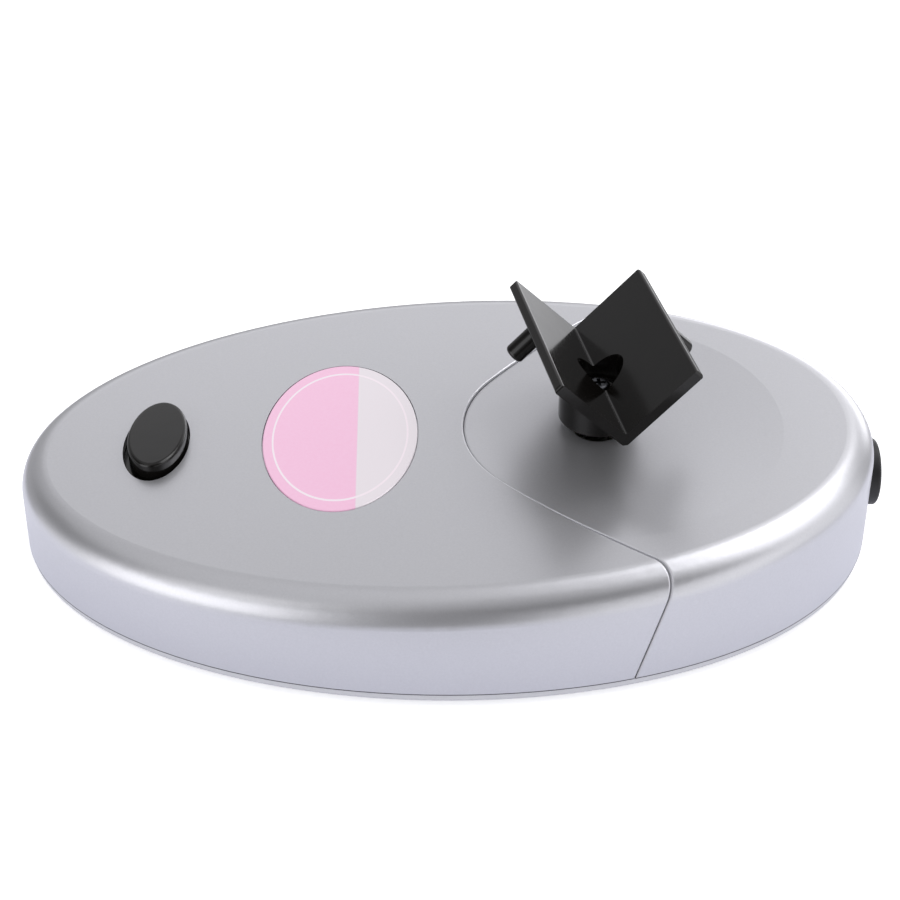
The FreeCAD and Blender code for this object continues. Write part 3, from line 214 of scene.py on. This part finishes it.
def printed_badge():
    """Gloss-laminated printed film: a pink field and a pale field, a fine ring inside the edge."""
    finish, tree, shader, place = new_finish("gloss_laminated_printed_film")
    badge_low, badge_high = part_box("label_badge")
    centre = (badge_low + badge_high) / 2
    half = (badge_high - badge_low) / 2
    # distance from the middle as a share of the ellipse's own half sizes
    from_middle = add(tree, "ShaderNodeMapping", {
        "Vector": place,
        "Location": (-centre.x / half.x, -centre.y / half.y, 0),
        "Scale": (1 / half.x, 1 / half.y, 0)})
    share = add(tree, "ShaderNodeVectorMath", {0: from_middle.outputs["Vector"]},
                operation="LENGTH").outputs["Value"]
    x = add(tree, "ShaderNodeSeparateXYZ", {0: place}).outputs["X"]
    on_pale = add(tree, "ShaderNodeMapRange", {
        0: x, 1: centre.x + FIELDS_MEET - FIELDS_BLEED,
        2: centre.x + FIELDS_MEET + FIELDS_BLEED})
    # the paper's tooth under the film is too fine to show, so it is drawn coarser
    tooth = add(tree, "ShaderNodeTexNoise", {"Vector": place, "Scale": 1 / PAPER_TOOTH})
    pink = add(tree, "ShaderNodeMix", {
        0: tooth.outputs["Fac"], 6: linear(PINK_LOW), 7: linear(PINK_HIGH)}, data_type="RGBA")
    fields = add(tree, "ShaderNodeMix", {
        0: on_pale.outputs[0], 6: pink.outputs[2], 7: linear(PALE)}, data_type="RGBA")
    on_ring = add(tree, "ShaderNodeMath", {0: share, 1: RING_SHARE, 2: RING_HALF_WIDTH},
                  operation="COMPARE")
    print_colour = add(tree, "ShaderNodeMix", {
        0: on_ring.outputs[0], 6: fields.outputs[2], 7: linear(RING)}, data_type="RGBA")
    tree.links.new(print_colour.outputs[2], shader.inputs["Base Color"])
    shader.inputs["Roughness"].default_value = 0.16
    shader.inputs["Coat Weight"].default_value = 0.6
    shader.inputs["Coat Roughness"].default_value = 0.05
    return finish


# ------------------------------------------------------------------ the other finishes
def silver_abs():
    """The base plate's silver-pigmented ABS, a little flatter than the covers."""
    return grained("silver_pigmented_abs", "#D8D8DC", "#DEDEE2", 0.6, 0.42, relief=0.03,
                   metallic=0.3)[0]


def polished_black_abs():
    """Black ABS from a polished mould: a clean gloss with a faint flow unevenness."""
    return grained("polished_black_abs", "#0D0C0B", "#13110F", 6.0, 0.15, relief=0.015,
                   ior=1.46)[0]


def textured_black_abs():
    """Black ABS from a spark-eroded mould: fine matt texture."""
    return grained("textured_black_abs", "#151516", "#1D1D1E", 0.4, 0.48, relief=0.12,
                   ior=1.53)[0]


def moulded_rubber():
    """Moulded black rubber: dead matt and faintly rough."""
    return grained("moulded_black_rubber", "#161616", "#202020", 0.7, 0.78, relief=0.10,
                   ior=1.52)[0]


def belt_polyurethane():
    """Extruded polyurethane belt: a warmer black with a satin skin."""
    return grained("polyurethane_belt", "#1E1A16", "#29241E", 0.8, 0.5, relief=0.05)[0]


def natural_nylon():
    """Moulded natural nylon: off-white, faintly cloudy."""
    return grained("natural_nylon", "#DEDBD0", "#E9E6DC", 3.0, 0.42, relief=0.02, ior=1.53)[0]


def zinc_plated_steel():
    """Bright zinc plate: pale, slightly blue, with soft mottling."""
    return grained("zinc_plated_steel", "#C3C6C6", "#D4D6D5", 0.8, 0.28, relief=0.03,
                   metallic=1.0)[0]


def shade_darkened_steel():
    """Screw steel painted dark grey, a painted shade for the screw's depth in the cradle's bore,
    still with a metal's shine.
    """
    return grained("shade_darkened_steel", "#3E3F42", "#505155", 0.8, 0.34, relief=0.03,
                   metallic=1.0)[0]


def pressed_plated_steel():
    """Nickel-plated sheet steel, pressed: a warm grey satin."""
    return grained("nickel_plated_pressed_steel", "#B6B6B4", "#C8C8C6", 1.2, 0.30, relief=0.02,
                   metallic=1.0)[0]


def nickel_plated_brass():
    """Nickel-plated brass: pale, warm and nearly polished."""
    return grained("nickel_plated_brass", "#CFCDC6", "#DAD8D2", 0.6, 0.18, relief=0.01,
                   metallic=1.0)[0]


def tinned_brass():
    """Tinned brass contacts: a dull pale yellow."""
    return grained("tinned_brass", "#C2B78F", "#D6CBA5", 0.5, 0.34, relief=0.02,
                   metallic=1.0)[0]


def sintered_ferrite():
    """Dark grey magnet ceramic with a gritty fracture."""
    return grained("sintered_ferrite", "#2B2B2D", "#3A3A3C", 0.25, 0.62, relief=0.15,
                   ior=2.3)[0]


def turned_steel():
    """Turned steel: mid grey with a silky shine across its rings."""
    return turned("turned_steel", "#A9A9AB", "#C4C4C6", 0.26)


def ground_bearing_steel():
    """Ground bearing steel: bright, with the finest rings."""
    return turned("ground_bearing_steel", "#C2C2C4", "#D2D2D4", 0.16, groove_mm=0.06)


def turned_aluminium():
    """Turned aluminium: pale and soft, its rings wide enough to tell apart."""
    return turned("turned_aluminium", "#C6C7CA", "#D8D9DC", 0.32, groove_mm=0.2)


def turned_brass():
    """Turned brass: yellow, with a clean shine."""
    return turned("turned_brass", "#C9A85C", "#DDBF78", 0.24)


def laminated_steel():
    """The motor core's stacked sheets, 0.35 mm each, seen as fine level lines."""
    return turned("laminated_electrical_steel", "#6E6E70", "#929294", 0.42, groove_mm=0.35)


SLOT_FINISHES = {
    "silver_cover": silver_lacquer(),
    "silver_base": silver_abs(),
    "black_gloss": polished_black_abs(),
    "black_matte": textured_black_abs(),
    "badge": printed_badge(),
    "white_nylon": natural_nylon(),
    "rubber": moulded_rubber(),
    "belt_rubber": belt_polyurethane(),
    "zinc_screw": zinc_plated_steel(),
    "turned_steel": turned_steel(),
    "bearing_steel": ground_bearing_steel(),
    "plated_steel": pressed_plated_steel(),
    "turned_aluminium": turned_aluminium(),
    "bright_metal": nickel_plated_brass(),
    "brass_contact": tinned_brass(),
    "brass_turned": turned_brass(),
    "ferrite": sintered_ferrite(),
    "lamination_steel": laminated_steel(),
}
# nodes whose finish isn't their slot's
# the cradle screw is painted dark as painted shade for its depth in the bore
NODE_FINISHES = {"cradle_screw": shade_darkened_steel()}

for part in frame["record"]["subparts"]:
    mesh = nodes[part["node"]].data
    for index in range(len(mesh.materials)):
        mesh.materials[index] = NODE_FINISHES.get(part["node"],
                                                  SLOT_FINISHES[part["material_slot"]])


# ------------------------------------------------------------------ the room
WHITE = "#FFFFFF"
SOFT_WHITE, SOFT_LEVEL = "#FAFAFB", 0.88
ROOM_WHITE, ROOM_LEVEL = "#FCFCFF", 0.400
# Each panel of the room gives its middle's bearing, 0 towards the viewer and 90 to the right,
# and its height above the horizon, then its half width, half height and softness, all in
# degrees, and last its change of brightness.
ROOM_PANELS = {
    "back_wall": (171, 24, 33, 12, 10, 0.76),
    "ceiling": (0, 90, 180, 44, 13.5, 0.29),
    "dark_left": (-102, 26, 22, 14, 9.8, -0.25),
    "left_front": (-52, 4, 21, 20, 9, 1.75),
    "dark_front": (15, 30, 29, 46, 7.7, -0.31),
    "right_back": (116, 60, 46, 9, 5, 1.8),
    "right_high": (88, 41, 25, 12, 11, 1.9),
    "right_front": (39, -8, 23, 23, 10.3, 0.95),
    "right_wall": (85, 6, 22, 20, 7.5, 0.73),
    "left_wall": (-91, -13, 16, 14, 5.4, 0.54),
    "right_back_low": (150, 0, 17, 10, 7, 2.4),
}


def panel_light(tree, bearing, height, panel):
    """A soft-edged panel of the room: its change of brightness inside it, and 0 outside."""
    middle_bearing, middle_height, half_width, half_height, softness, change = panel
    aside = add(tree, "ShaderNodeMath", {0: bearing, 1: math.radians(middle_bearing)},
                operation="SUBTRACT")
    facing = add(tree, "ShaderNodeMath", {0: aside.outputs[0]}, operation="COSINE")
    across = add(tree, "ShaderNodeMapRange", {
        0: facing.outputs[0],
        1: math.cos(math.radians(min(half_width + softness, 180))),
        2: math.cos(math.radians(max(half_width - softness, 0)))},
        interpolation_type="SMOOTHSTEP")
    above = add(tree, "ShaderNodeMath", {0: height, 1: math.radians(middle_height)},
                operation="SUBTRACT")
    off = add(tree, "ShaderNodeMath", {0: above.outputs[0]}, operation="ABSOLUTE")
    along = add(tree, "ShaderNodeMapRange", {
        0: off.outputs[0],
        1: math.radians(half_height - softness),
        2: math.radians(half_height + softness), 3: change, 4: 0.0},
        interpolation_type="SMOOTHSTEP")
    return add(tree, "ShaderNodeMath", {0: across.outputs[0], 1: along.outputs[0]},
               operation="MULTIPLY").outputs[0]


def studio():
    """Soft light for dull surfaces, the room with its panels for mirrors, and white for what
    the viewer sees behind the object."""
    world = bpy.data.worlds.new("studio")
    bpy.context.scene.world = world
    world.use_nodes = True
    tree = world.node_tree
    tree.nodes.clear()
    ray = add(tree, "ShaderNodeLightPath").outputs
    way = add(tree, "ShaderNodeSeparateXYZ", {
        0: add(tree, "ShaderNodeTexCoord").outputs["Generated"]}).outputs
    nearer = add(tree, "ShaderNodeMath", {0: way["Y"], 1: -1.0}, operation="MULTIPLY")
    bearing = add(tree, "ShaderNodeMath", {0: way["X"], 1: nearer.outputs[0]},
                  operation="ARCTAN2").outputs[0]
    height = add(tree, "ShaderNodeMath", {0: way["Z"]}, operation="ARCSINE").outputs[0]
    level = ROOM_LEVEL
    for panel in ROOM_PANELS.values():
        level = add(tree, "ShaderNodeMath", {
            0: level, 1: panel_light(tree, bearing, height, panel)}, operation="ADD").outputs[0]
    soft = add(tree, "ShaderNodeBackground", {"Color": linear(SOFT_WHITE), "Strength": SOFT_LEVEL})
    room = add(tree, "ShaderNodeBackground", {"Color": linear(ROOM_WHITE), "Strength": level})
    behind = add(tree, "ShaderNodeBackground", {"Color": linear(WHITE), "Strength": 1.0})
    light = add(tree, "ShaderNodeMixShader", {
        0: ray["Is Glossy Ray"], 1: soft.outputs[0], 2: room.outputs[0]})
    direct = add(tree, "ShaderNodeMath", {
        0: ray["Is Camera Ray"], 1: ray["Is Transmission Ray"]}, operation="MAXIMUM")
    shown = add(tree, "ShaderNodeMixShader", {
        0: direct.outputs[0], 1: light.outputs[0], 2: behind.outputs[0]})
    add(tree, "ShaderNodeOutputWorld", {"Surface": shown.outputs[0]})


# ------------------------------------------------------------------ the table
TABLE_SIZE = 8.0
PAPER_LOW, PAPER_HIGH = "#F0F0F1", "#F3F3F4"
PAPER_CLOUD = 25 * MM
# what the table gives off, seen straight and seen in a mirror, and its colour in a mirror
TABLE_GLOW, TABLE_MIRRORED = 0.55, 0.30
MIRRORED_TINT = "#D2D6FF"
# the half sizes of the ellipse in which mirrors see the table, and the shares of them where the
# table begins to give way to the room and where it is gone
TABLE_NEAR = (190 * MM, 109 * MM)
TABLE_FADES, TABLE_GONE = 0.85, 1.1


def white_table():
    """Pale table that reads white and keeps the object's shadow."""
    bpy.ops.mesh.primitive_plane_add(size=TABLE_SIZE, location=(0, 0, 0))
    table = bpy.context.object
    table.name = "white_table"
    finish, tree, shader, place = new_finish("pale_table")
    ray = add(tree, "ShaderNodeLightPath").outputs
    paper = add(tree, "ShaderNodeTexNoise", {
        "Vector": place, "Scale": 1 / PAPER_CLOUD, "Detail": 2.0})
    tone = add(tree, "ShaderNodeMix", {
        0: paper.outputs["Fac"], 6: linear(PAPER_LOW), 7: linear(PAPER_HIGH)}, data_type="RGBA")
    tree.links.new(tone.outputs[2], shader.inputs["Base Color"])
    shader.inputs["Roughness"].default_value = 0.9
    # the table glows to the eye, and less to a mirror, but lights nothing
    seen = ray["Is Camera Ray"]
    for kind in ("Is Glossy Ray", "Is Transmission Ray"):
        seen = add(tree, "ShaderNodeMath", {0: seen, 1: ray[kind]}, operation="MAXIMUM").outputs[0]
    shine = add(tree, "ShaderNodeMapRange", {
        0: ray["Is Glossy Ray"], 3: TABLE_GLOW, 4: TABLE_MIRRORED})
    glow = add(tree, "ShaderNodeMath", {0: seen, 1: shine.outputs[0]}, operation="MULTIPLY")
    tint = add(tree, "ShaderNodeMix", {
        0: ray["Is Glossy Ray"], 6: linear(WHITE), 7: linear(MIRRORED_TINT)}, data_type="RGBA")
    tree.links.new(tint.outputs[2], shader.inputs["Emission Color"])
    tree.links.new(glow.outputs[0], shader.inputs["Emission Strength"])
    # a mirror sees the table only near the object, and the room beyond it
    near_share = add(tree, "ShaderNodeMapping", {
        0: place, "Scale": (1 / TABLE_NEAR[0], 1 / TABLE_NEAR[1], 0)})
    length = add(tree, "ShaderNodeVectorMath", {0: near_share.outputs[0]}, operation="LENGTH")
    beyond = add(tree, "ShaderNodeMapRange", {
        0: length.outputs["Value"], 1: TABLE_FADES, 2: TABLE_GONE},
        interpolation_type="SMOOTHSTEP")
    open_to_room = add(tree, "ShaderNodeMath", {
        0: beyond.outputs[0], 1: ray["Is Glossy Ray"]}, operation="MULTIPLY")
    through = add(tree, "ShaderNodeBsdfTransparent")
    surface = shader.outputs["BSDF"].links[0].to_socket
    mixed = add(tree, "ShaderNodeMixShader", {
        0: open_to_room.outputs[0], 1: shader.outputs["BSDF"], 2: through.outputs[0]})
    tree.links.new(mixed.outputs[0], surface)
    table.data.materials.append(finish)


# ------------------------------------------------------------------ lamps and camera
# each lamp's place, the point it faces and its size, in metres, and its power in watts
SOFTBOXES = {
    "right_back_softbox": ((0.62, 0.40, 0.85), (0.02, 0, 0), (0.60, 0.35), 1.6),
    "left_front_softbox": ((-0.60, -0.55, 0.60), (-0.05, 0, 0), (0.45, 0.30), 0.35),
}

CAMERA_LENS, CAMERA_SENSOR = 67.358, 36.0
CAMERA_SHIFT = (-0.0041, -0.0999)
CAMERA_CLIP = (0.01, 20.0)
# the camera's bearing, its height above the horizon and its roll, in degrees
CAMERA_ANGLES = (-1.984, 33.059, 0.364)
CAMERA_AIM = Vector((2.759, 73.602, 1.6)) * MM
CAMERA_DISTANCE = 490.239 * MM


def softbox(name, place, aim, size, power):
    """A rectangular lamp that faces a point."""
    light = bpy.data.lights.new(name, "AREA")
    light.shape = "RECTANGLE"
    light.size, light.size_y = size
    light.energy = power
    lamp = bpy.data.objects.new(name, light)
    lamp.location = place
    lamp.rotation_mode = "QUATERNION"
    lamp.rotation_quaternion = (Vector(aim) - Vector(place)).to_track_quat("-Z", "Y")
    bpy.context.scene.collection.objects.link(lamp)


def camera():
    """The viewer's camera, placed by its angles and its distance from what it looks at."""
    lens = bpy.data.cameras.new("camera")
    lens.lens, lens.sensor_width = CAMERA_LENS, CAMERA_SENSOR
    lens.shift_x, lens.shift_y = CAMERA_SHIFT
    lens.clip_start, lens.clip_end = CAMERA_CLIP
    view = bpy.data.objects.new("camera", lens)
    turn, tilt, roll = (math.radians(angle) for angle in CAMERA_ANGLES)
    back = Vector((math.sin(turn) * math.cos(tilt), -math.cos(turn) * math.cos(tilt),
                   math.sin(tilt)))
    right = Vector((math.cos(turn), math.sin(turn), 0))
    up = back.cross(right)
    right, up = (right * math.cos(roll) + up * math.sin(roll),
                 up * math.cos(roll) - right * math.sin(roll))
    axes = Matrix((right, up, back)).transposed().to_4x4()
    view.matrix_world = Matrix.Translation(CAMERA_AIM + back * CAMERA_DISTANCE) @ axes
    bpy.context.scene.collection.objects.link(view)
    bpy.context.scene.camera = view


studio()
white_table()
for lamp_name, lamp_settings in SOFTBOXES.items():
    softbox(lamp_name, *lamp_settings)
camera()
bpy.context.scene.view_settings.view_transform = "Standard"
